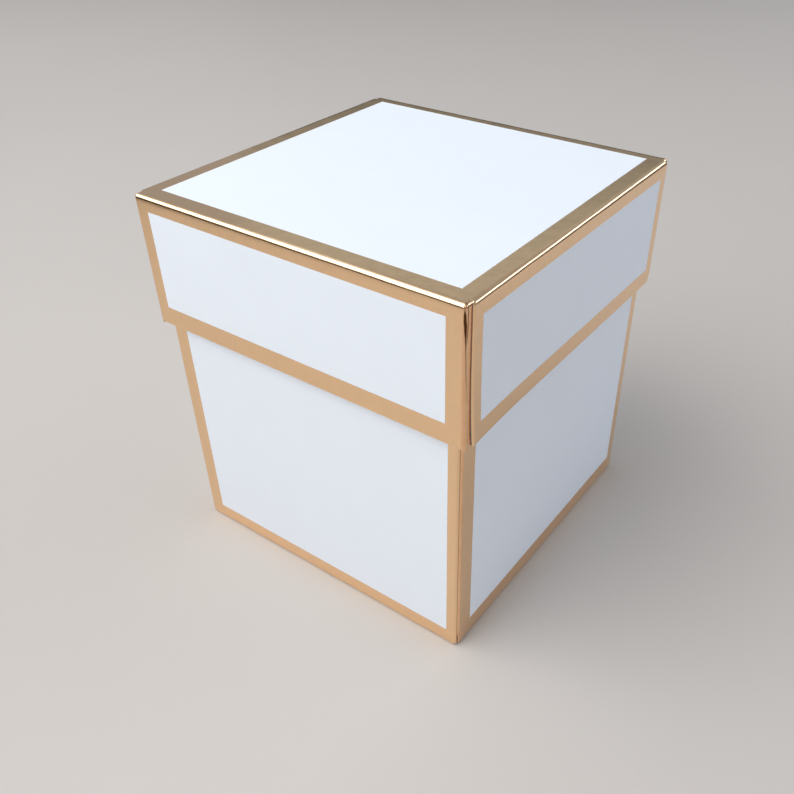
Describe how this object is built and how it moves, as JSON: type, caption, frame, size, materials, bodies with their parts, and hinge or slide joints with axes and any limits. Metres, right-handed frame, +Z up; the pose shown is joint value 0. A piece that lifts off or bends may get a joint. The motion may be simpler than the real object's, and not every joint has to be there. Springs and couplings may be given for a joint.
{
  "type": "favor box",
  "caption": "Square folding paperboard favor box with a slip-over lid, rolled double walls, tucked corner tabs and mirror-gold foil borders round plain white panels.",
  "frame": {"origin": "centre of the closed box's underside", "axes": "+Z up along the lid's lift, +X towards the right wall, -Y towards the front wall"},
  "size_m": [0.0536, 0.0528, 0.0571],
  "materials": {
    "white_board": "matte",
    "gold_foil": "polished"
  },
  "bodies": {
    "base": {"base_floor": "white_board", "base_floor_foil": "gold_foil", "base_corner_tabs": "white_board", "base_front_wall": "white_board", "base_back_wall": "white_board", "base_left_wall": "white_board", "base_right_wall": "white_board", "base_front_liner": "white_board", "base_back_liner": "white_board", "base_left_liner": "white_board", "base_right_liner": "white_board", "base_front_foil": "gold_foil", "base_back_foil": "gold_foil", "base_left_foil": "gold_foil", "base_right_foil": "gold_foil"},
    "lid": {"lid_top_panel": "white_board", "lid_top_foil": "gold_foil", "lid_corner_tabs": "white_board", "lid_front_wall": "white_board", "lid_back_wall": "white_board", "lid_left_wall": "white_board", "lid_right_wall": "white_board", "lid_front_liner": "white_board", "lid_back_liner": "white_board", "lid_left_liner": "white_board", "lid_right_liner": "white_board", "lid_front_foil": "gold_foil", "lid_back_foil": "gold_foil", "lid_left_foil": "gold_foil", "lid_right_foil": "gold_foil"}
  },
  "joints": [
    {"name": "lid_lift", "type": "slide", "parent": "base", "child": "lid", "axis": [0, 0, 1], "range_m": [0, 0.028]}
  ]
}
